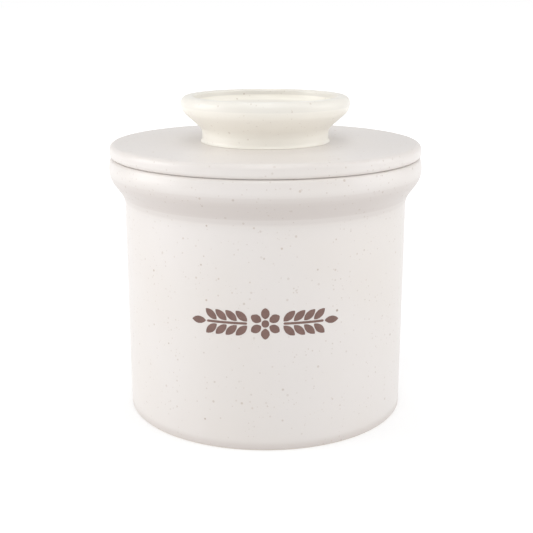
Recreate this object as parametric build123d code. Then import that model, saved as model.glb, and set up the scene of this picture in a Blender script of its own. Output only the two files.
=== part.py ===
"""French butter crock: a stoneware pot that holds water, and a lid whose bell-shaped cup hangs in it.

All sizes are millimetres. Z is up, the turning axis is Z, and the origin is the middle of the foot.
Every pottery piece is a half section in the XZ plane, turned once round Z. The decal on the front
(the -Y side) is a set of thin tiles on the pot's wall. Each piece is written to parts/NODE.step.
"""

from build123d import *
import os
from math import cos, degrees, radians, sin, tan

# Crock, outside
WALL_RADIUS = 48.8          # straight body
FOOT_EDGE = 0.8             # rounding where the wall meets the foot
NECK_HEIGHT = 72.9          # where the straight wall starts to flare
NECK_CURVE = 8.5            # hollow curve of the flare
FLARE_SLOPE = 36.0          # slope of the flare, in degrees from the wall
RIM_RADIUS = 54.0           # widest part of the rolled rim
RIM_ROLL = 8.7              # full curve of the rolled rim
RIM_TURN = 20.0             # where that curve gives way to the lip, in degrees above level
LIP_EDGE = 1.1              # outer rounding of the lip
MOUTH_EDGE = 1.3            # inner rounding of the lip

# Crock, inside and underneath
WALL = 4.5                  # thickness of the wall, rim and floor
FLOOR_CURVE = 7.0           # inside corner between wall and floor
FOOT_WIDTH = 6.5            # width of the foot ring that stands on the table
FOOT_RECESS = 1.5           # height of the underside above the foot ring
RECESS_SLOPE = 1.2          # how far the recess narrows from the foot ring up

# Lid plate
PLATE_RADIUS = 53.6
PLATE_THICKNESS = 4.65
PLATE_UNDER_EDGE = 1.4
PLATE_TOP_EDGE = 1.8

# Knob, which is also the foot when the lid is turned over and used as a dish
KNOB_RADIUS = 29.0
KNOB_HEIGHT = 15.6
KNOB_FOOT_RADIUS = 22.3
KNOB_FOOT_HEIGHT = 1.2      # height over which the spread foot runs into the neck
KNOB_NECK_RADIUS = 21.8
KNOB_NECK_HEIGHT = 2.7      # top of the straight neck above the plate
KNOB_NECK_CURVE = 3.9       # hollow curve between neck and flare
KNOB_SLOPE = 48.4           # slope of the knob's flare, in degrees from the neck
KNOB_ROLL = 4.7             # full curve between flare and side
KNOB_TOP_EDGE = 2.2
KNOB_INNER_EDGE = 0.9
KNOB_WALL = 4.6             # width of the knob's top rim, and thickness of its wall

# Bell cup, open downwards
COLLAR_CLEARANCE = 1.2      # between the collar and the mouth, all round
COLLAR_THICKNESS = 3.0
COLLAR_EDGE = 1.0
BELL_ROOT_RADIUS = 36.2
BELL_MOUTH_RADIUS = 38.0
BELL_WALL = 4.2
BELL_MOUTH_HEIGHT = 27.0    # height of the bell's rim above the table
BELL_ROOT_CURVE = 2.5       # outside corner between cup and collar
BELL_CEILING_CURVE = 8.0    # inside corner at the closed end

# Decal: two mirrored sprigs and a flower, fired on
DECAL_THICKNESS = 0.12
DECAL_HEIGHT = 43.2         # height of its middle above the table
LEAF_LENGTH = 4.9
LEAF_WIDTH = 2.4
LEAF_PAIRS = 4
LEAF_PITCH = 3.3            # spacing of the leaf pairs along the stem
LEAF_TILT = 42.0            # angle between leaf and stem, in degrees
STEM_THICKNESS = 0.75
STEM_START = 5.7            # arc length from the middle to the stem's inner end
TILE_GAP = 0.35             # bare glaze between neighbouring tiles
PETALS = 6
PETAL_START = 30.0          # direction of the first petal, in degrees
PETAL_LENGTH = 3.6
PETAL_WIDTH = 2.7
FLOWER_EYE_RADIUS = 1.2

SAME_POINT = 1e-6           # ends nearer than this need no line between them

# Worked out from the above
INSIDE_RADIUS = WALL_RADIUS - WALL
MOUTH_RADIUS = RIM_RADIUS - WALL


def polar(centre, radius, angle):
    """The point at that angle, in degrees, on a circle in the section plane."""
    return (centre[0] + radius * cos(radians(angle)), centre[1] + radius * sin(radians(angle)))


def arc(centre, radius, start, end):
    """An arc in the section plane, from start to end in degrees."""
    return CenterArc(centre, radius, start, end - start)


def roll_centre(neck_centre, neck_curve, radius, roll, slope):
    """Centre of a flare's full curve, where one sloping line touches both the neck's curve and it."""
    line_start = polar(neck_centre, neck_curve, 180 - slope)
    line_end_radius = radius - roll + roll * cos(radians(slope))
    rise = (line_end_radius - line_start[0]) / tan(radians(slope))
    return (radius - roll, line_start[1] + rise + roll * sin(radians(slope)))


def turn(edges):
    """Joins the edges of a half section, given in order, with lines, and turns it round Z."""
    outline = []
    for edge, following in zip(edges, edges[1:] + edges[:1]):
        outline.append(edge)
        if (edge @ 1 - following @ 0).length > SAME_POINT:
            outline.append(Line(edge @ 1, following @ 0))
    return revolve(Plane.XZ * make_face(outline), Axis.Z, 360)


NECK_CENTRE = (WALL_RADIUS + NECK_CURVE, NECK_HEIGHT)
RIM_CENTRE = roll_centre(NECK_CENTRE, NECK_CURVE, RIM_RADIUS, RIM_ROLL, FLARE_SLOPE)
LIP_CENTRE = polar(RIM_CENTRE, RIM_ROLL - LIP_EDGE, RIM_TURN)
SEAT_HEIGHT = LIP_CENTRE[1] + LIP_EDGE          # where the lid rests
PLATE_TOP = SEAT_HEIGHT + PLATE_THICKNESS
KNOB_TOP = PLATE_TOP + KNOB_HEIGHT


def crock():
    """The pot: recessed foot, straight wall, and a rim that flares and rolls over at one thickness."""
    foot_inside = WALL_RADIUS - FOOT_WIDTH
    floor_height = FOOT_RECESS + WALL
    floor_centre = (INSIDE_RADIUS - FLOOR_CURVE, floor_height + FLOOR_CURVE)
    foot_centre = (WALL_RADIUS - FOOT_EDGE, FOOT_EDGE)
    mouth_centre = (MOUTH_RADIUS + MOUTH_EDGE, SEAT_HEIGHT - MOUTH_EDGE)
    return turn([
        Line((0, FOOT_RECESS), (foot_inside - RECESS_SLOPE, FOOT_RECESS)),
        Line((foot_inside, 0), (foot_centre[0], 0)),
        arc(foot_centre, FOOT_EDGE, -90, 0),
        arc(NECK_CENTRE, NECK_CURVE, 180, 180 - FLARE_SLOPE),
        arc(RIM_CENTRE, RIM_ROLL, -FLARE_SLOPE, RIM_TURN),
        arc(LIP_CENTRE, LIP_EDGE, RIM_TURN, 90),
        arc(mouth_centre, MOUTH_EDGE, 90, 180),
        arc(RIM_CENTRE, RIM_ROLL - WALL, 0, -FLARE_SLOPE),
        arc(NECK_CENTRE, NECK_CURVE + WALL, 180 - FLARE_SLOPE, 180),
        arc(floor_centre, FLOOR_CURVE, 0, -90),
        Line((floor_centre[0], floor_height), (0, floor_height)),
    ])


def lid_plate():
    """The flat round plate that rests on the crock's lip."""
    under = PLATE_RADIUS - PLATE_UNDER_EDGE
    top = PLATE_RADIUS - PLATE_TOP_EDGE
    return turn([
        Line((0, SEAT_HEIGHT), (under, SEAT_HEIGHT)),
        arc((under, SEAT_HEIGHT + PLATE_UNDER_EDGE), PLATE_UNDER_EDGE, -90, 0),
        arc((top, PLATE_TOP - PLATE_TOP_EDGE), PLATE_TOP_EDGE, 0, 90),
        Line((top, PLATE_TOP), (0, PLATE_TOP)),
    ])


def knob():
    """The hollow flared ring on top of the plate, open upwards, with its foot spread a little."""
    neck_top = PLATE_TOP + KNOB_NECK_HEIGHT
    neck_centre = (KNOB_NECK_RADIUS + KNOB_NECK_CURVE, neck_top)
    side_centre = roll_centre(neck_centre, KNOB_NECK_CURVE, KNOB_RADIUS, KNOB_ROLL, KNOB_SLOPE)
    top_centre = (KNOB_RADIUS - KNOB_TOP_EDGE, KNOB_TOP - KNOB_TOP_EDGE)
    inner_radius = KNOB_RADIUS - KNOB_WALL
    inner_centre = (inner_radius + KNOB_INNER_EDGE, KNOB_TOP - KNOB_INNER_EDGE)
    inner_foot = KNOB_NECK_RADIUS - KNOB_WALL
    return turn([
        Line((inner_foot, PLATE_TOP), (KNOB_FOOT_RADIUS, PLATE_TOP)),
        Line((KNOB_NECK_RADIUS, PLATE_TOP + KNOB_FOOT_HEIGHT), (KNOB_NECK_RADIUS, neck_top)),
        arc(neck_centre, KNOB_NECK_CURVE, 180, 180 - KNOB_SLOPE),
        arc(side_centre, KNOB_ROLL, -KNOB_SLOPE, 0),
        arc(top_centre, KNOB_TOP_EDGE, 0, 90),
        arc(inner_centre, KNOB_INNER_EDGE, 90, 180),
        Line((inner_radius, side_centre[1]), (inner_foot, neck_top + KNOB_NECK_CURVE)),
    ])


def bell_cup():
    """The cup under the plate, open downwards. Its collar drops into the mouth and centres the lid."""
    collar_radius = MOUTH_RADIUS - COLLAR_CLEARANCE
    ceiling = SEAT_HEIGHT - COLLAR_THICKNESS
    rim = BELL_WALL / 2
    root_centre = (BELL_ROOT_RADIUS + BELL_ROOT_CURVE, ceiling - BELL_ROOT_CURVE)
    corner_centre = (
        BELL_ROOT_RADIUS - BELL_WALL - BELL_CEILING_CURVE,
        ceiling - BELL_CEILING_CURVE,
    )
    return turn([
        Line((0, SEAT_HEIGHT), (collar_radius, SEAT_HEIGHT)),
        arc((collar_radius - COLLAR_EDGE, ceiling + COLLAR_EDGE), COLLAR_EDGE, 0, -90),
        arc(root_centre, BELL_ROOT_CURVE, 90, 180),
        arc((BELL_MOUTH_RADIUS - rim, BELL_MOUTH_HEIGHT + rim), rim, 0, -180),
        arc(corner_centre, BELL_CEILING_CURVE, 0, 90),
        Line((corner_centre[0], ceiling), (0, ceiling)),
    ])


def leaf(length, width):
    """A pointed leaf along +X from the origin, bounded by two equal arcs."""
    half = width / 2
    upper = ThreePointArc((0, 0), (length / 2, half), (length, 0))
    lower = ThreePointArc((length, 0), (length / 2, -half), (0, 0))
    return make_face([upper, lower])


def on_wall(shape, arc_length):
    """Prints a flat shape on the wall, its origin that arc length to the right of the middle."""
    reach = 2 * WALL_RADIUS                      # far enough out to pass through the wall
    band = 4 * LEAF_LENGTH                       # taller than any shape of the decal
    skin = Cylinder(WALL_RADIUS + DECAL_THICKNESS, band) - Cylinder(WALL_RADIUS, band)
    printed = extrude(Plane.XZ * shape, reach) & skin
    return Pos(0, 0, DECAL_HEIGHT) * Rot(0, 0, degrees(arc_length / WALL_RADIUS)) * printed


def flower():
    """The round eye and the ring of petals in the middle of the decal."""
    tiles = [on_wall(Circle(FLOWER_EYE_RADIUS), 0)]
    for number in range(PETALS):
        direction = PETAL_START + number * 360 / PETALS
        petal = Pos(FLOWER_EYE_RADIUS + TILE_GAP, 0) * leaf(PETAL_LENGTH, PETAL_WIDTH)
        tiles.append(on_wall(Rot(0, 0, direction) * petal, 0))
    return tiles


def stem(side):
    """The straight strip of a sprig, which runs round the wall. side is 1 to the right, -1 to the left."""
    strip = Rectangle(DECAL_THICKNESS, STEM_THICKNESS)
    middle = Pos(WALL_RADIUS + DECAL_THICKNESS / 2, DECAL_HEIGHT)
    sweep = degrees(LEAF_PAIRS * LEAF_PITCH / WALL_RADIUS)
    inner_end = degrees(STEM_START / WALL_RADIUS)
    start = inner_end if side > 0 else -inner_end - sweep
    return Rot(0, 0, start - 90) * revolve(Plane.XZ * middle * strip, Axis.Z, sweep)


def sprig(side):
    """A stem with its pairs of leaves and one leaf at its tip."""
    outwards = 0 if side > 0 else 180
    foot = STEM_THICKNESS / 2 + TILE_GAP
    blade = leaf(LEAF_LENGTH, LEAF_WIDTH)
    tiles = [stem(side)]
    for pair in range(LEAF_PAIRS):
        place = side * (STEM_START + pair * LEAF_PITCH)
        for above in (-1, 1):
            tilt = outwards + side * above * LEAF_TILT
            tiles.append(on_wall(Pos(0, above * foot) * Rot(0, 0, tilt) * blade, place))
    tip = side * (STEM_START + LEAF_PAIRS * LEAF_PITCH + TILE_GAP)
    tiles.append(on_wall(Rot(0, 0, outwards) * blade, tip))
    return tiles


def front_decal():
    """The fired decal: a six-petalled flower between two leafy sprigs, as separate thin tiles."""
    tiles = flower() + sprig(-1) + sprig(1)
    return Compound(children=[solid for tile in tiles for solid in tile.solids()])


def main():
    os.makedirs("parts", exist_ok=True)
    pieces = {
        "crock": crock(),
        "front_decal": front_decal(),
        "lid_plate": lid_plate(),
        "knob": knob(),
        "bell_cup": bell_cup(),
    }
    for name, piece in pieces.items():
        export_step(piece, f"parts/{name}.step")


main()
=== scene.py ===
"""A French butter crock of speckled stoneware, in a plain studio.

Metres, Z up, the front towards -Y, the origin at the middle of the foot. Each pottery piece is a half
section of (radius, height) points turned round Z, and the decal is a set of thin tiles on the wall.
"""

from math import ceil, cos, hypot, pi, radians, sin, sqrt, tan

import bmesh
import bpy
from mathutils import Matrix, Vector, noise


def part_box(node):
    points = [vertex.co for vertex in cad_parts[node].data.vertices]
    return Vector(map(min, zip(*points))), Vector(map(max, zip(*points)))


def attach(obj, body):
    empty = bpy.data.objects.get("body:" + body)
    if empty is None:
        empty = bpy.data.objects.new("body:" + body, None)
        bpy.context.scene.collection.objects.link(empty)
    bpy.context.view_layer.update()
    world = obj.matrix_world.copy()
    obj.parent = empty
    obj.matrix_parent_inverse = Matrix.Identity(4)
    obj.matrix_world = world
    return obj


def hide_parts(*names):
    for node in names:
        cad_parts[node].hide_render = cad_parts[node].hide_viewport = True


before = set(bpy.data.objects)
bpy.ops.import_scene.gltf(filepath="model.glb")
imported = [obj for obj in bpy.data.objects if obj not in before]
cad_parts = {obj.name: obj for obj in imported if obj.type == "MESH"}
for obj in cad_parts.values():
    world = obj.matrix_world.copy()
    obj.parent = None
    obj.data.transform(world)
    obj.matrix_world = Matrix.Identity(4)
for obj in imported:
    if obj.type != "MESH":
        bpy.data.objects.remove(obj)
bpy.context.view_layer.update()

MM = 0.001
SEGMENTS = 192              # round each turned piece
ARC_STEP = 0.35 * MM        # longest step along a rounding
LINE_STEP = 2.5 * MM        # longest step along a straight
LEAST_STEPS = 5             # along even the smallest rounding
TINY = 0.01 * MM            # a length or a radius below this counts as none
HARD_EDGE = radians(50)     # faces that meet at more than this keep a hard edge between them
BEND_REACH = 1.6 * MM       # how far to each side of a point its bend is measured
BEND_FULL = 1.6             # bend within that reach, in radians, that counts as 1
SLOPE_REACH = 3.5 * MM      # how far to each side of a point its overhang is measured
WOBBLE = 0.05 * MM          # how far the surface stands in from a true circle, at most
WOBBLE_SIZE = 32 * MM
RING_DEPTH = 0.04 * MM      # throwing rings on the inside walls
RING_PITCH = 3.6 * MM
RING_POINTS = 8             # points of the outline along one ring
RING_FADE = 6               # the rings fade out over one part in this many at each end of the wall
RING_DRIFT = 1.3            # how uneven their spacing is, in radians, and over what height
RING_DRIFT_SIZE = 9 * MM
GLAZED = 20.0               # height above the kiln shelf, in mm, for pieces that never touch it

# What the frame gives
RIM_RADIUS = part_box("crock")[1].x
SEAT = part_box("crock")[1].z
PLATE_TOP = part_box("lid_plate")[1].z
PLATE_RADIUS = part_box("lid_plate")[1].x
KNOB_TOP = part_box("knob")[1].z
KNOB_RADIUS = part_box("knob")[1].x
BELL_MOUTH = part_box("bell_cup")[0].z
DECAL_LOW, DECAL_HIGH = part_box("front_decal")
DECAL_HEIGHT = (DECAL_LOW.z + DECAL_HIGH.z) / 2

# The crock
WALL_RADIUS = 48.8 * MM
WALL = 4.5 * MM
FOOT_EDGE = 0.8 * MM
FOOT_WIDTH = 6.5 * MM
FOOT_RECESS = 1.5 * MM
RECESS_SLOPE = 1.2 * MM
RECESS_EASE = 0.7 * MM
NECK_HEIGHT = 72.9 * MM
NECK_CURVE = 8.5 * MM
FLARE_SLOPE = 36.0          # in degrees from the wall
RIM_ROLL = 8.7 * MM
RIM_TURN = 20.0             # where the rim's curve gives way to the lip, in degrees above level
LIP_EDGE = 1.1 * MM
MOUTH_EDGE = 1.3 * MM
FLOOR_CURVE = 7.0 * MM

# The lid plate
PLATE_UNDER_EDGE = 1.4 * MM
PLATE_TOP_EDGE = 1.8 * MM

# The knob
KNOB_FOOT_RADIUS = 22.3 * MM
KNOB_FOOT_EDGE = 0.12 * MM
KNOB_FOOT_SPREAD = 45.0     # slope at the foot's edge, in degrees
KNOB_NECK_RADIUS = 21.8 * MM
KNOB_NECK_HEIGHT = 2.7 * MM
KNOB_NECK_CURVE = 3.9 * MM
KNOB_SLOPE = 48.4           # slope of its flare, in degrees from the neck
KNOB_ROLL = 4.7 * MM
KNOB_TOP_EDGE = 2.2 * MM
KNOB_INNER_EDGE = 0.9 * MM
KNOB_WALL = 4.6 * MM
KNOB_INNER_EASE = 2.2 * MM
KNOB_POOL = 1.6 * MM        # glaze pooled in the corner of the dish

# The bell cup
COLLAR_CLEARANCE = 1.2 * MM
COLLAR_THICKNESS = 3.0 * MM
COLLAR_EDGE = 1.0 * MM
COLLAR_EASE = 0.5 * MM
BELL_ROOT_RADIUS = 36.2 * MM
BELL_MOUTH_RADIUS = 38.0 * MM
BELL_WALL = 4.2 * MM
BELL_ROOT_CURVE = 2.5 * MM
BELL_CEILING_CURVE = 8.0 * MM

# The decal
DECAL_TOP = WALL_RADIUS + 0.03 * MM    # just proud of the glaze
DECAL_BED = WALL_RADIUS - 0.12 * MM    # inside the glaze
LEAF_LENGTH = 4.9 * MM
LEAF_WIDTH = 2.4 * MM
LEAF_PAIRS = 4
LEAF_PITCH = 3.3 * MM
LEAF_TILT = radians(42)
STEM_THICKNESS = 0.75 * MM
STEM_START = 5.7 * MM
TILE_GAP = 0.35 * MM
PETALS = 6
PETAL_START = radians(30)
PETAL_LENGTH = 3.6 * MM
PETAL_WIDTH = 2.7 * MM
FLOWER_EYE_RADIUS = 1.2 * MM
TILE_ROWS = 20              # faces along a tile
TILE_COLUMNS = 6            # and across it
INK_EDGE = 0.07             # unevenness of a printed edge, as a share of the width
INK_EDGE_SIZE = 0.8 * MM


# ---------------------------------------------------------------- outlines of the half sections

def polar(centre, radius, angle):
    """The point at that angle, in degrees, on a circle in the section plane."""
    return (centre[0] + radius * cos(radians(angle)), centre[1] + radius * sin(radians(angle)))


def arc(centre, radius, start, end):
    """Points along an arc of the section, from start to end in degrees."""
    steps = max(LEAST_STEPS, ceil(abs(radians(end - start)) * radius / ARC_STEP))
    return [polar(centre, radius, start + (end - start) * step / steps) for step in range(steps + 1)]


def between(here, there, share):
    """The point that share of the way from here to there."""
    return (here[0] + share * (there[0] - here[0]), here[1] + share * (there[1] - here[1]))


def eased(before, corner, after, reach):
    """A corner softened over that reach along both its sides."""
    start = between(corner, before, reach / hypot(before[0] - corner[0], before[1] - corner[1]))
    end = between(corner, after, reach / hypot(after[0] - corner[0], after[1] - corner[1]))
    steps = max(LEAST_STEPS, ceil(2 * reach / ARC_STEP))
    shares = [step / steps for step in range(steps + 1)]
    return [between(between(start, corner, share), between(corner, end, share), share) for share in shares]


def roll_centre(neck_centre, neck_curve, radius, roll, slope):
    """Centre of a flare's full curve, where one sloping line touches both the neck's curve and it."""
    line_start = polar(neck_centre, neck_curve, 180 - slope)
    line_end_radius = radius - roll + roll * cos(radians(slope))
    rise = (line_end_radius - line_start[0]) / tan(radians(slope))
    return (radius - roll, line_start[1] + rise + roll * sin(radians(slope)))


def filled(outline, ring):
    """The outline with points added along its straights. A ring's outline closes on itself."""
    points = []
    next_points = outline[1:] + outline[:1] if ring else outline[1:]
    for here, there in zip(outline, next_points):
        length = hypot(there[0] - here[0], there[1] - here[1])
        steps = max(1, ceil(length / LINE_STEP))
        if length > TINY:
            points += [between(here, there, step / steps) for step in range(steps)]
    return points if ring else points + [outline[-1]]


def ringed(low, high):
    """The inside wall from low up to high, with the shallow rings that shaping it leaves."""
    steps = ceil((high[1] - low[1]) / (RING_PITCH / RING_POINTS))
    points = []
    for step in range(steps + 1):
        share = step / steps
        radius, height = between(low, high, share)
        fade = min(1, RING_FADE * share, RING_FADE * (1 - share))
        phase = 2 * pi * height / RING_PITCH + RING_DRIFT * sin(height / RING_DRIFT_SIZE)
        points.append((radius + fade * RING_DEPTH * 0.5 * (1 + sin(phase)), height))
    return points


def crock_outline():
    """From the middle of the underside, out, up and over the rim, and down to the middle of the floor."""
    foot_inside = WALL_RADIUS - FOOT_WIDTH
    recess = (foot_inside - RECESS_SLOPE, FOOT_RECESS)
    foot_centre = (WALL_RADIUS - FOOT_EDGE, FOOT_EDGE)
    neck_centre = (WALL_RADIUS + NECK_CURVE, NECK_HEIGHT)
    rim_centre = roll_centre(neck_centre, NECK_CURVE, RIM_RADIUS, RIM_ROLL, FLARE_SLOPE)
    lip_centre = polar(rim_centre, RIM_ROLL - LIP_EDGE, RIM_TURN)
    mouth_centre = (RIM_RADIUS - WALL + MOUTH_EDGE, SEAT - MOUTH_EDGE)
    inside_radius = WALL_RADIUS - WALL
    floor_centre = (inside_radius - FLOOR_CURVE, FOOT_RECESS + WALL + FLOOR_CURVE)
    inner_wall = ringed((inside_radius, floor_centre[1]), (inside_radius, NECK_HEIGHT))
    return [
        (0, FOOT_RECESS),
        *eased((0, FOOT_RECESS), recess, (foot_inside, 0), RECESS_EASE),
        *eased(recess, (foot_inside, 0), (foot_centre[0], 0), RECESS_EASE),
        *arc(foot_centre, FOOT_EDGE, -90, 0),
        *arc(neck_centre, NECK_CURVE, 180, 180 - FLARE_SLOPE),
        *arc(rim_centre, RIM_ROLL, -FLARE_SLOPE, RIM_TURN),
        *arc(lip_centre, LIP_EDGE, RIM_TURN, 90),
        *arc(mouth_centre, MOUTH_EDGE, 90, 180),
        *arc(rim_centre, RIM_ROLL - WALL, 0, -FLARE_SLOPE),
        *arc(neck_centre, NECK_CURVE + WALL, 180 - FLARE_SLOPE, 180),
        *reversed(inner_wall),
        *arc(floor_centre, FLOOR_CURVE, 0, -90),
        (0, FOOT_RECESS + WALL),
    ]


def plate_outline():
    """From the middle of the plate's underside, round its edge, to the middle of its top."""
    under_centre = (PLATE_RADIUS - PLATE_UNDER_EDGE, SEAT + PLATE_UNDER_EDGE)
    top_centre = (PLATE_RADIUS - PLATE_TOP_EDGE, PLATE_TOP - PLATE_TOP_EDGE)
    return [
        (0, SEAT),
        *arc(under_centre, PLATE_UNDER_EDGE, -90, 0),
        *arc(top_centre, PLATE_TOP_EDGE, 0, 90),
        (0, PLATE_TOP),
    ]


def knob_outline():
    """A ring: up the outside of the knob from its foot, over its rim, and down its hollow."""
    spread = radians(KNOB_FOOT_SPREAD)
    foot_centre = (KNOB_FOOT_RADIUS - KNOB_FOOT_EDGE, PLATE_TOP + KNOB_FOOT_EDGE)
    foot_end = polar(foot_centre, KNOB_FOOT_EDGE, KNOB_FOOT_SPREAD)
    foot_curve = (foot_end[0] - KNOB_NECK_RADIUS) / (1 - cos(spread))
    foot_curve_centre = (KNOB_NECK_RADIUS + foot_curve, foot_end[1] + foot_curve * sin(spread))
    neck_top = PLATE_TOP + KNOB_NECK_HEIGHT
    neck_centre = (KNOB_NECK_RADIUS + KNOB_NECK_CURVE, neck_top)
    side_centre = roll_centre(neck_centre, KNOB_NECK_CURVE, KNOB_RADIUS, KNOB_ROLL, KNOB_SLOPE)
    top_centre = (KNOB_RADIUS - KNOB_TOP_EDGE, KNOB_TOP - KNOB_TOP_EDGE)
    inner_radius = KNOB_RADIUS - KNOB_WALL
    inner_centre = (inner_radius + KNOB_INNER_EDGE, KNOB_TOP - KNOB_INNER_EDGE)
    dish_radius = KNOB_NECK_RADIUS - KNOB_WALL
    shoulder = (inner_radius, side_centre[1])
    throat = (dish_radius, neck_top + KNOB_NECK_CURVE)
    corner = (dish_radius, PLATE_TOP)
    pool_edge = (dish_radius - 2 * KNOB_POOL, PLATE_TOP)
    return [
        *arc(foot_centre, KNOB_FOOT_EDGE, -90, KNOB_FOOT_SPREAD),
        *arc(foot_curve_centre, foot_curve, 180 + KNOB_FOOT_SPREAD, 180),
        *arc(neck_centre, KNOB_NECK_CURVE, 180, 180 - KNOB_SLOPE),
        *arc(side_centre, KNOB_ROLL, -KNOB_SLOPE, 0),
        *arc(top_centre, KNOB_TOP_EDGE, 0, 90),
        *arc(inner_centre, KNOB_INNER_EDGE, 90, 180),
        *eased((inner_radius, inner_centre[1]), shoulder, throat, KNOB_INNER_EASE / 2),
        *eased(shoulder, throat, corner, KNOB_INNER_EASE),
        *eased(throat, corner, pool_edge, KNOB_POOL),
    ]


def bell_outline():
    """From the middle of the bell's ceiling, down its inside, round its mouth, up its outside, and over
    the collar to the middle of its joint with the plate."""
    collar_radius = RIM_RADIUS - WALL - COLLAR_CLEARANCE
    ceiling = SEAT - COLLAR_THICKNESS
    rim = BELL_WALL / 2
    root_centre = (BELL_ROOT_RADIUS + BELL_ROOT_CURVE, ceiling - BELL_ROOT_CURVE)
    ceiling_centre = (BELL_ROOT_RADIUS - BELL_WALL - BELL_CEILING_CURVE, ceiling - BELL_CEILING_CURVE)
    collar_centre = (collar_radius - COLLAR_EDGE, ceiling + COLLAR_EDGE)
    inner_wall = ringed(
        (BELL_MOUTH_RADIUS - BELL_WALL, BELL_MOUTH + rim),
        (BELL_ROOT_RADIUS - BELL_WALL, ceiling_centre[1]),
    )
    return [
        (0, ceiling),
        *arc(ceiling_centre, BELL_CEILING_CURVE, 90, 0),
        *reversed(inner_wall),
        *arc((BELL_MOUTH_RADIUS - rim, BELL_MOUTH + rim), rim, -180, 0),
        *arc(root_centre, BELL_ROOT_CURVE, 180, 90),
        *arc(collar_centre, COLLAR_EDGE, -90, 0),
        *eased((collar_radius, ceiling), (collar_radius, SEAT), (0, SEAT), COLLAR_EASE),
        (0, SEAT),
    ]


# ---------------------------------------------------------------- meshes

def wobble(x, y, z, seed):
    """How far the surface stands in from a true circle there."""
    place = Vector((x, y, z)) / WOBBLE_SIZE + Vector((seed, 0, 0))
    return WOBBLE * (0.5 + 0.5 * noise.noise(place))


def walked(points, index, step, reach, ring):
    """The point that lies that reach along the outline from that one, ahead (step 1) or behind (-1)."""
    gone = 0.0
    while gone < reach:
        following = index + step
        if ring:
            following %= len(points)
        elif not 0 <= following < len(points):
            break
        gone += hypot(points[following][0] - points[index][0], points[following][1] - points[index][1])
        index = following
    return Vector(points[index])


def surface_values(points, ring):
    """How much the outline bends near each point, 1 on a sharp outer edge and -1 in a sharp inner corner,
    and how far the surface there faces down, up to 1. The outline runs with the clay on its left."""
    found = []
    for index, point in enumerate(points):
        here = Vector(point)
        back = here - walked(points, index, -1, BEND_REACH, ring)
        ahead = walked(points, index, 1, BEND_REACH, ring) - here
        bend = 0.0
        if min(back.length, ahead.length) > TINY:
            bend = max(-1.0, min(1.0, -back.angle_signed(ahead) / BEND_FULL))
        along = walked(points, index, 1, SLOPE_REACH, ring) - walked(points, index, -1, SLOPE_REACH, ring)
        found.append((bend, max(0.0, along.normalized().x)))
    return found


def turned(name, outline, seed, ring=False, flared=False, shelf=None):
    """A closed mesh, the outline turned round Z. It keeps three values for the glaze at each vertex: bend,
    overhang on a flared piece, and the height in mm above the kiln shelf that it stood on, if it did."""
    points = filled(outline, ring)
    rows, vertices = [], []
    values = {"bend": [], "overhang": [], "shelf_height": []}
    for (radius, z), (bend, overhang) in zip(points, surface_values(points, ring)):
        on_axis = radius < TINY
        row = []
        for segment in range(1 if on_axis else SEGMENTS):
            angle = 2 * pi * segment / SEGMENTS
            x, y = radius * cos(angle), radius * sin(angle)
            inward = 0 if on_axis else 1 - wobble(x, y, z, seed) / max(radius, WOBBLE_SIZE / 2)
            row.append(len(vertices))
            vertices.append((x * inward, y * inward, z))
            values["bend"].append(bend)
            values["overhang"].append(overhang if flared else 0.0)
            values["shelf_height"].append(GLAZED if shelf is None else (z - shelf) / MM)
        rows.append(row)
    faces = []
    next_rows = rows[1:] + rows[:1] if ring else rows[1:]
    for low, high in zip(rows, next_rows):
        for segment in range(SEGMENTS):
            following = (segment + 1) % SEGMENTS
            corners = [low[segment % len(low)], low[following % len(low)]]
            corners += [high[following % len(high)], high[segment % len(high)]]
            faces.append(list(dict.fromkeys(corners)))
    piece = new_piece(name, vertices, faces)
    for key, numbers in values.items():
        piece.data.attributes.new(key, "FLOAT", "POINT").data.foreach_set("value", numbers)
    return piece


def new_piece(name, vertices, faces):
    """A smooth-shaded object with its faces turned outwards."""
    mesh = bpy.data.meshes.new(name)
    mesh.from_pydata(vertices, [], faces)
    shell = bmesh.new()
    shell.from_mesh(mesh)
    bmesh.ops.recalc_face_normals(shell, faces=shell.faces)
    shell.to_mesh(mesh)
    shell.free()
    mesh.shade_smooth()
    mesh.set_sharp_from_angle(angle=HARD_EDGE)
    piece = bpy.data.objects.new(name, mesh)
    bpy.context.scene.collection.objects.link(piece)
    return piece


def on_wall(x, y, radius):
    """A point of the decal's flat design, x round the wall and y up it, at that radius."""
    angle = x / WALL_RADIUS
    return (radius * sin(angle), -radius * cos(angle), DECAL_HEIGHT + y)


def leaf_half(length, width):
    """Half the width of a pointed leaf, bounded by two equal arcs, as a function of the way along it."""
    curve = (length ** 2 + width ** 2) / (4 * width)
    return lambda along: sqrt(max(0, curve ** 2 - (along - length / 2) ** 2)) - curve + width / 2


def disc_half(diameter):
    """The same for a disc."""
    return lambda along: sqrt(max(0, along * (diameter - along)))


def strip_half(length, width):
    """The same for a strip with round ends."""
    def half(along):
        """Half the strip's width there."""
        into_end = max(0, width / 2 - min(along, length - along))
        return sqrt(max(0, (width / 2) ** 2 - into_end ** 2))
    return half


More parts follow.
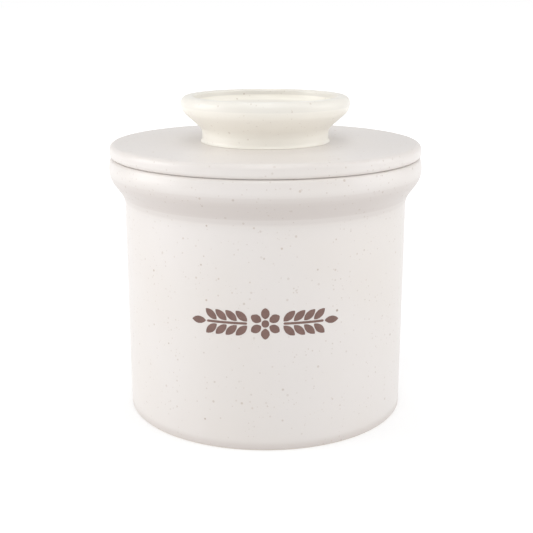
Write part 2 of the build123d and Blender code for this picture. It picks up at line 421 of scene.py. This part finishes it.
def tile(vertices, faces, length, half, start, direction):
    """Adds one printed tile, which runs from start in that direction over the wall."""
    layers = []
    for radius in (DECAL_TOP, DECAL_BED):
        rows = []
        for step in range(TILE_ROWS + 1):
            along = length * (1 - cos(pi * step / TILE_ROWS)) / 2
            uneven = 1 + INK_EDGE * noise.noise(Vector((start[0], start[1], along)) / INK_EDGE_SIZE)
            reach = half(along) * uneven
            columns = TILE_COLUMNS if 0 < step < TILE_ROWS else 0
            row = []
            for column in range(columns + 1):
                across = reach * (2 * column / columns - 1) if columns else 0
                x = start[0] + along * cos(direction) - across * sin(direction)
                y = start[1] + along * sin(direction) + across * cos(direction)
                row.append(len(vertices))
                vertices.append(on_wall(x, y, radius))
            rows.append(row)
        layers.append(rows)
    for rows in layers:
        for low, high in zip(rows, rows[1:]):
            for column in range(TILE_COLUMNS):
                corners = [low[min(column, len(low) - 1)], low[min(column + 1, len(low) - 1)]]
                corners += [high[min(column + 1, len(high) - 1)], high[min(column, len(high) - 1)]]
                faces.append(list(dict.fromkeys(corners)))
    top, bed = layers
    for side in (0, -1):
        for step in range(TILE_ROWS):
            corners = [top[step][side], top[step + 1][side], bed[step + 1][side], bed[step][side]]
            faces.append(corners)


def fired_decal():
    """A six-petalled flower between two mirrored sprigs, as thin printed tiles."""
    vertices, faces = [], []
    eye = 2 * FLOWER_EYE_RADIUS
    tile(vertices, faces, eye, disc_half(eye), (-FLOWER_EYE_RADIUS, 0), 0)
    for number in range(PETALS):
        direction = PETAL_START + 2 * pi * number / PETALS
        reach = FLOWER_EYE_RADIUS + TILE_GAP
        foot = (reach * cos(direction), reach * sin(direction))
        tile(vertices, faces, PETAL_LENGTH, leaf_half(PETAL_LENGTH, PETAL_WIDTH), foot, direction)
    stem_length = LEAF_PAIRS * LEAF_PITCH
    leaf_foot = STEM_THICKNESS / 2 + TILE_GAP
    leaf = leaf_half(LEAF_LENGTH, LEAF_WIDTH)
    for side in (-1, 1):
        outwards = 0 if side > 0 else pi
        stem = strip_half(stem_length, STEM_THICKNESS)
        tile(vertices, faces, stem_length, stem, (side * STEM_START, 0), outwards)
        for pair in range(LEAF_PAIRS):
            place = side * (STEM_START + pair * LEAF_PITCH)
            for above in (-1, 1):
                direction = outwards + side * above * LEAF_TILT
                tile(vertices, faces, LEAF_LENGTH, leaf, (place, above * leaf_foot), direction)
        tip = side * (STEM_START + stem_length + TILE_GAP)
        tile(vertices, faces, LEAF_LENGTH, leaf, (tip, 0), outwards)
    return new_piece("fired_decal", vertices, faces)


# ---------------------------------------------------------------- materials

class Shading:
    """Short calls for building one material's nodes."""

    def __init__(self, name):
        self.material = bpy.data.materials.new(name)
        self.material.use_nodes = True
        self.tree = self.material.node_tree
        self.shader = self.tree.nodes["Principled BSDF"]
        self.place = self.add("TexCoord").outputs["Object"]

    def add(self, kind, inputs=None, **settings):
        """A node of that kind. An input is another node's output, or a value."""
        node = self.tree.nodes.new("ShaderNode" + kind)
        for key, value in settings.items():
            setattr(node, key, value)
        for key, value in (inputs or {}).items():
            self.feed(node.inputs[key], value)
        return node

    def feed(self, socket, value):
        """Links the socket to another node's output, or sets its value."""
        if isinstance(value, bpy.types.NodeSocket):
            self.tree.links.new(value, socket)
        else:
            socket.default_value = value

    def attribute(self, name):
        """A value kept at each vertex."""
        return self.add("Attribute", attribute_name=name).outputs["Fac"]

    def moved(self, *shift):
        """The place on the object moved by that much, so that no two patterns are in step."""
        return self.add("VectorMath", {0: self.place, 1: shift}, operation="ADD").outputs[0]

    def noise(self, size, detail=2.0, roughness=0.5, offset=0.0):
        """Soft noise from 0 to 1 with features of about that size in metres."""
        place = self.moved(offset, offset, offset)
        settings = {"Vector": place, "Scale": 1 / size, "Detail": detail, "Roughness": roughness}
        return self.add("TexNoise", settings).outputs["Fac"]

    def math(self, operation, *values):
        """One arithmetic step."""
        node = self.add("Math", dict(enumerate(values)), operation=operation)
        return node.outputs[0]

    def ramp(self, value, low, high, start=0.0, end=1.0):
        """A smooth step from start to end as value goes from low to high."""
        sockets = {"Value": value, "From Min": low, "From Max": high, "To Min": start, "To Max": end}
        return self.add("MapRange", sockets, interpolation_type="SMOOTHSTEP").outputs[0]

    def mix(self, share, below, above):
        """Goes from one colour to another."""
        node = self.add("Mix", data_type="RGBA")
        for socket, value in ((node.inputs[0], share), (node.inputs[6], below), (node.inputs[7], above)):
            self.feed(socket, value)
        return node.outputs[2]

    def bump(self, height, depth, strength=1.0, before=None):
        """Raises the surface by height times depth in metres."""
        node = self.add("Bump", {"Height": height, "Distance": depth, "Strength": strength})
        if before is not None:
            self.feed(node.inputs["Normal"], before)
        return node.outputs["Normal"]


def shade(colour, factor):
    """A linear colour with alpha, scaled by one factor or by one for each channel."""
    factors = (factor,) * 3 if isinstance(factor, (int, float)) else factor
    return tuple(channel * scale for channel, scale in zip(colour, factors)) + (1.0,)


WHITE = (1.0, 1.0, 1.0)

# Specks of iron
SPECK_DARK = (0.20, 0.13, 0.085)
SPECK_WARM = (0.42, 0.28, 0.17)
SPECK_TINT_SIZE = 3 * MM
# size of a cell and of its speck, share of cells with one, and how strongly it shows
SPECK_LAYERS = (
    (1.4 * MM, 0.30 * MM, 0.42, 0.28),
    (2.4 * MM, 0.44 * MM, 0.50, 0.35),
    (6.0 * MM, 0.50 * MM, 0.50, 0.68),
)
LAYER_SHIFT = 0.31          # keeps the layers out of step
SPECK_SMALLEST = 0.5        # as a share of the layer's size
SPECK_LARGEST = 1.1
SPECK_EDGE = (0.65, 1.1)    # where a speck begins to fade and where it has ended, as shares of its size
SPECK_FAINTEST = 0.4        # as a share of the layer's strength
CLUSTER_SIZE = 14 * MM
CLUSTER_RANGE = (0.32, 0.72)
CLUSTER_LEAST = 0.12        # share of the specks that is left between clusters
CLUSTER_MEAN = 0.5

# Glaze: a tint is a factor on its colour, and a range runs from where something starts to where it is full
PATCH_SIZE = 38 * MM
PATCH_RANGE = (0.3, 0.7)
PATCH_WARM = (1.0, 0.992, 0.976)
PATCH_LIGHT = 1.012
FLECK_SIZE = 2.6 * MM
FLECK_SHARE = 0.10
FLECK_TINT = (0.86, 0.83, 0.79)
THIN_RANGE = (0.35, 1.0)    # bend of an edge on which the glaze is thin
THIN_FLECKS = (0.25, 0.75)
THIN_SHARE = (0.05, 0.25)
THIN_TINT = (0.93, 0.87, 0.78)
HOLLOW_LIGHT_RANGE = (-0.10, -0.24)     # bend of a hollow corner that gets painted light
HOLLOW_PAINTED_LIGHT = (1.16, 1.155, 1.12)     # painted light that lifts the shade in hollow corners, chosen in the same way as the tints beneath the flares
FLARE_RANGE = (0.02, 0.5)   # overhang beneath a flare
SATIN = (0.29, 0.34)        # roughness of the two kinds of patch
SPECK_ROUGHNESS = 0.12      # added on a speck
GLAZE_IOR = 1.56
SWELL_SIZE = 9 * MM
SWELL_DEPTH = 0.05 * MM
PEEL_SIZE = 0.9 * MM
PEEL_DEPTH = 0.004 * MM
SPECK_DEPTH = 0.01 * MM

# Bare clay, where the glaze was wiped off
CLAY = (0.60, 0.53, 0.44)
CLAY_SHADES = (0.86, 1.12)
CLAY_GRAIN = 0.35 * MM
CLAY_DEPTH = 0.05 * MM
CLAY_ROUGHNESS = 0.9
WIPED_RANGE = (0.42, 0.56)  # height above the kiln shelf, in mm, over which the clay gives way to glaze
WIPED_WANDER = 0.35         # how far that line strays, in mm
WIPED_SIZE = 4 * MM

# Ink of the transfer
INK_DARK = (0.160, 0.090, 0.075)
INK_LIGHT = (0.195, 0.112, 0.094)
INK_PATCH_SIZE = 2.4 * MM
INK_WORN = (0.48, 0.40, 0.35)
INK_WORN_RANGE = (0.62, 0.80)
INK_WORN_SHARE = 0.30
INK_GRAIN_SIZE = 0.30 * MM
INK_DEPTH = 0.006 * MM
INK_ROUGHNESS = (0.40, 0.50)

# Paper of the floor
PAPER_SHADES = (0.50, 0.54)
PAPER_FIBRE = 1.5 * MM
PAPER_ROUGHNESS = 0.9
PAPER_SPECULAR = 0.2
SWEEP_START = 0.20          # where the floor begins to brighten, in metres from the object
SWEEP_FULL = 0.80
NEAR_GLOW = 0.48
FAR_GLOW = 0.75


def specks(shading, clusters, cell, radius, share, strength, offset):
    """Iron specks: round spots in some of the cells of a loose lattice, fewer where clusters is low."""
    place = shading.moved(offset, 0.0, offset)
    cells = shading.add("TexVoronoi", {"Vector": place, "Scale": 1 / cell, "Randomness": 1.0})
    chance = shading.add("SeparateColor", {"Color": cells.outputs["Color"]}).outputs
    smallest = SPECK_SMALLEST * radius / cell
    largest = SPECK_LARGEST * radius / cell
    size = shading.math("MULTIPLY_ADD", chance[1], largest - smallest, smallest)
    spot = shading.ramp(shading.math("DIVIDE", cells.outputs["Distance"], size), *SPECK_EDGE, 1.0, 0.0)
    kept = shading.math("LESS_THAN", chance[0], shading.math("MULTIPLY", clusters, share / CLUSTER_MEAN))
    faintest = SPECK_FAINTEST * strength
    shown = shading.math("MULTIPLY_ADD", chance[2], strength - faintest, faintest)
    return shading.math("MULTIPLY", shading.math("MULTIPLY", spot, kept), shown)


def all_specks(shading, speckled, offset):
    """Every layer of specks together, as how far they cover the glaze, from 0 to 1."""
    spread = shading.noise(CLUSTER_SIZE, 2.0, 0.6, offset + 1)
    clusters = shading.ramp(spread, *CLUSTER_RANGE, CLUSTER_LEAST, 1.0)
    covered = None
    for number, (cell, radius, share, strength) in enumerate(SPECK_LAYERS):
        dots = (cell, radius, speckled * share, speckled * strength)
        layer = specks(shading, clusters, *dots, offset + LAYER_SHIFT * number)
        covered = layer if covered is None else shading.math("MAXIMUM", covered, layer)
    return covered


def glaze(name, colour, flare_painted_light_and_shade, speckled, offset):
    """Satin off-white glaze with iron specks, as many and as strong as speckled says. It thins and warms on
    sharp edges and is wiped off where the piece stood on the kiln shelf. Hollow corners get painted light
    that lifts their shade. Beneath a flare its colour is scaled by the given factors: painted shade beneath
    the crock's rim, painted light beneath the knob's flare."""
    shading = Shading(name)
    bend = shading.attribute("bend")
    overhang = shading.attribute("overhang")
    patches = shading.noise(PATCH_SIZE, 2.0, 0.5, offset)
    flecks = shading.noise(FLECK_SIZE, 3.0, 0.6, offset)
    grain = shading.noise(CLAY_GRAIN, 3.0, 0.7, offset)

    patch = shading.ramp(patches, *PATCH_RANGE)
    tone = shading.mix(patch, shade(colour, PATCH_WARM), shade(colour, PATCH_LIGHT))
    tone = shading.mix(shading.math("MULTIPLY", flecks, FLECK_SHARE), tone, shade(colour, FLECK_TINT))
    thinned = shading.ramp(flecks, *THIN_FLECKS, *THIN_SHARE)
    thinned = shading.math("MULTIPLY", shading.ramp(bend, *THIN_RANGE), thinned)
    tone = shading.mix(thinned, tone, shade(colour, THIN_TINT))
    # painted light in hollow corners, lifting their shade
    tone = shading.mix(shading.ramp(bend, *HOLLOW_LIGHT_RANGE), tone, shade(colour, HOLLOW_PAINTED_LIGHT))
    # painted shade beneath the crock's rim flare, painted light beneath the knob's flare
    tone = shading.mix(shading.ramp(overhang, *FLARE_RANGE), tone, shade(colour, flare_painted_light_and_shade))

    covered = all_specks(shading, speckled, offset)
    speck_patch = shading.noise(SPECK_TINT_SIZE, 0.0, 0.5, offset)
    speck = shading.mix(speck_patch, shade(SPECK_DARK, 1), shade(SPECK_WARM, 1))
    tone = shading.mix(covered, tone, speck)

    wander = shading.noise(WIPED_SIZE, 2.0, 0.5, offset)
    line = shading.math("MULTIPLY_ADD", wander, WIPED_WANDER, shading.attribute("shelf_height"))
    bare = shading.ramp(line, *WIPED_RANGE, 1.0, 0.0)
    clay = shading.mix(grain, *(shade(CLAY, factor) for factor in CLAY_SHADES))
    shading.feed(shading.shader.inputs["Base Color"], shading.mix(bare, tone, clay))

    satin = shading.ramp(patches, *PATCH_RANGE, *SATIN)
    satin = shading.math("MULTIPLY_ADD", covered, SPECK_ROUGHNESS, satin)
    rough = shading.add("Mix", {0: bare, 2: satin, 3: CLAY_ROUGHNESS}).outputs[0]
    shading.feed(shading.shader.inputs["Roughness"], rough)
    shading.shader.inputs["IOR"].default_value = GLAZE_IOR

    relief = shading.bump(shading.noise(SWELL_SIZE, 1.0, 0.5, offset), SWELL_DEPTH)
    relief = shading.bump(shading.noise(PEEL_SIZE, 2.0, 0.5, offset), PEEL_DEPTH, before=relief)
    relief = shading.bump(shading.math("SUBTRACT", 1.0, covered), SPECK_DEPTH, before=relief)
    relief = shading.bump(shading.math("MULTIPLY", grain, bare), CLAY_DEPTH, before=relief)
    shading.feed(shading.shader.inputs["Normal"], relief)
    return shading.material


def ink():
    """Brown fired transfer, a little uneven, worn in fine grains, and more matt than the glaze."""
    shading = Shading("brown_ink")
    patches = shading.noise(INK_PATCH_SIZE, 3.0, 0.6)
    grain = shading.noise(INK_GRAIN_SIZE, 2.0, 0.6)
    tone = shading.mix(shading.ramp(patches, *PATCH_RANGE), shade(INK_DARK, 1), shade(INK_LIGHT, 1))
    tone = shading.mix(shading.ramp(grain, *INK_WORN_RANGE, 0.0, INK_WORN_SHARE), tone, shade(INK_WORN, 1))
    shading.feed(shading.shader.inputs["Base Color"], tone)
    shading.feed(shading.shader.inputs["Roughness"], shading.ramp(patches, *PATCH_RANGE, *INK_ROUGHNESS))
    shading.feed(shading.shader.inputs["Normal"], shading.bump(grain, INK_DEPTH))
    return shading.material


def floor_paper():
    """Matt pale paper that glows a little, and more in its far part, as a lit studio sweep does."""
    shading = Shading("floor_paper")
    fibre = shading.noise(PAPER_FIBRE, 2.0, 0.6)
    tone = shading.mix(fibre, *(shade(WHITE, factor) for factor in PAPER_SHADES))
    shading.feed(shading.shader.inputs["Base Color"], tone)
    shading.shader.inputs["Roughness"].default_value = PAPER_ROUGHNESS
    shading.shader.inputs["Specular IOR Level"].default_value = PAPER_SPECULAR
    away = shading.add("VectorMath", {0: shading.place}, operation="LENGTH").outputs["Value"]
    glow = shading.ramp(away, SWEEP_START, SWEEP_FULL, NEAR_GLOW, FAR_GLOW)
    shading.shader.inputs["Emission Color"].default_value = shade(WHITE, 1)
    shading.feed(shading.shader.inputs["Emission Strength"], glow)
    return shading.material


# ---------------------------------------------------------------- studio

CAMERA_PLACE = Vector((0, -341.7, 139.7)) * MM
CAMERA_DOWN = 14.9          # degrees below level
CAMERA_LENS = 66.6          # in mm, for the sensor's width
CAMERA_SENSOR = 36
CAMERA_SHIFT = 0.0022
CAMERA_NEAR = 0.01
FLOOR_HALF = 30.0
HORIZON_GLOW = 1.0          # brightness of the room at the horizon and below
ROOM_GLOW = 0.70            # and from a little above it up
ROOM_FADE = 0.15            # sine of the elevation where the one has given way to the other
# where each light stands as azimuth from the front and elevation, in degrees, its distance, size and power
LIGHTS = {
    "key_left": (-86, 16, 1.1, 0.8, 5.2),
    "fill_right": (86, 18, 1.1, 0.8, 2.7),
    "front_high": (0, 54, 1.1, 0.5, 2.3),
    "overhead_back": (180, 72, 1.0, 0.25, 1.0),
    "right_high": (60, 50, 1.1, 0.5, 0.8),
}


def add_camera():
    """A camera in front of the object that looks a little down on it."""
    data = bpy.data.cameras.new("camera")
    data.sensor_width = CAMERA_SENSOR
    data.lens = CAMERA_LENS
    data.shift_x = CAMERA_SHIFT
    data.clip_start = CAMERA_NEAR
    camera = bpy.data.objects.new("camera", data)
    camera.location = CAMERA_PLACE
    camera.rotation_euler = (radians(90 - CAMERA_DOWN), 0, 0)
    bpy.context.scene.collection.objects.link(camera)
    bpy.context.scene.camera = camera


def add_light(name, azimuth, elevation, distance, size, power):
    """A square softbox that faces the middle of the object."""
    data = bpy.data.lights.new(name, "AREA")
    data.size = size
    data.energy = power
    lamp = bpy.data.objects.new(name, data)
    across = distance * cos(radians(elevation))
    rise = distance * sin(radians(elevation))
    out = Vector((across * sin(radians(azimuth)), -across * cos(radians(azimuth)), rise))
    lamp.location = Vector((0, 0, KNOB_TOP / 2)) + out
    lamp.rotation_euler = out.to_track_quat("Z", "Y").to_euler()
    bpy.context.scene.collection.objects.link(lamp)


def add_room():
    """An evenly bright room, white towards the horizon."""
    world = bpy.data.worlds.new("room")
    world.use_nodes = True
    tree = world.node_tree
    background = tree.nodes["Background"]
    background.inputs["Color"].default_value = shade(WHITE, 1)
    direction = tree.nodes.new("ShaderNodeTexCoord").outputs["Generated"]
    parts = tree.nodes.new("ShaderNodeSeparateXYZ")
    tree.links.new(direction, parts.inputs[0])
    glow = tree.nodes.new("ShaderNodeMapRange")
    glow.inputs["From Max"].default_value = ROOM_FADE
    glow.inputs["To Min"].default_value = HORIZON_GLOW
    glow.inputs["To Max"].default_value = ROOM_GLOW
    tree.links.new(parts.outputs["Z"], glow.inputs["Value"])
    tree.links.new(glow.outputs[0], background.inputs["Strength"])
    bpy.context.scene.world = world
    bpy.context.scene.view_settings.view_transform = "Standard"


def add_floor():
    """A wide flat floor that isn't part of the object."""
    corners = [(-FLOOR_HALF, -FLOOR_HALF, 0), (FLOOR_HALF, -FLOOR_HALF, 0)]
    corners += [(FLOOR_HALF, FLOOR_HALF, 0), (-FLOOR_HALF, FLOOR_HALF, 0)]
    floor = new_piece("floor", corners, [(0, 1, 2, 3)])
    floor.data.materials.append(floor_paper())


def add_studio():
    """Camera, softboxes, room and floor."""
    add_camera()
    for name, settings in LIGHTS.items():
        add_light(name, *settings)
    add_room()
    add_floor()


# ---------------------------------------------------------------- the object

BODY_GLAZE = (0.695, 0.661, 0.641)
KNOB_GLAZE = (0.765, 0.744, 0.694)
# Painted shade beneath the crock's rim flare and painted light beneath the knob's flare, as tints chosen by
# measure so that the shade there comes out right in this studio. They are not known glaze colours: (1, 1, 1)
# leaves the plain glaze.
BODY_FLARE_PAINTED_SHADE = (0.855, 0.826, 0.809)
KNOB_FLARE_PAINTED_LIGHT = (1.185, 1.18, 1.16)
KNOB_SPECKLED = 0.75        # its specks against the body's
KNOB_OFFSET = 0.5           # takes its patterns from another place than the body's


def place_piece(piece, material, body, node):
    """Gives a piece its material and the body that it rides on, and hides the CAD node that it stands for.
    """
    piece.data.materials.append(material)
    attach(piece, body)
    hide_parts(node)


def add_crock_and_lid():
    """The five pieces, each in the place of its CAD node."""
    body_glaze = glaze("body_glaze", BODY_GLAZE, BODY_FLARE_PAINTED_SHADE, 1.0, 0.0)
    knob_glaze = glaze("knob_glaze", KNOB_GLAZE, KNOB_FLARE_PAINTED_LIGHT, KNOB_SPECKLED, KNOB_OFFSET)
    crock = turned("crock_glazed", crock_outline(), seed=1, flared=True, shelf=0)
    plate = turned("lid_plate_glazed", plate_outline(), seed=2)
    knob = turned("knob_glazed", knob_outline(), seed=3, ring=True, flared=True)
    bell = turned("bell_cup_glazed", bell_outline(), seed=4, shelf=BELL_MOUTH)
    place_piece(crock, body_glaze, "crock_body", "crock")
    place_piece(plate, body_glaze, "lid_body", "lid_plate")
    place_piece(knob, knob_glaze, "lid_body", "knob")
    place_piece(bell, body_glaze, "lid_body", "bell_cup")
    place_piece(fired_decal(), ink(), "crock_body", "front_decal")


add_studio()
add_crock_and_lid()
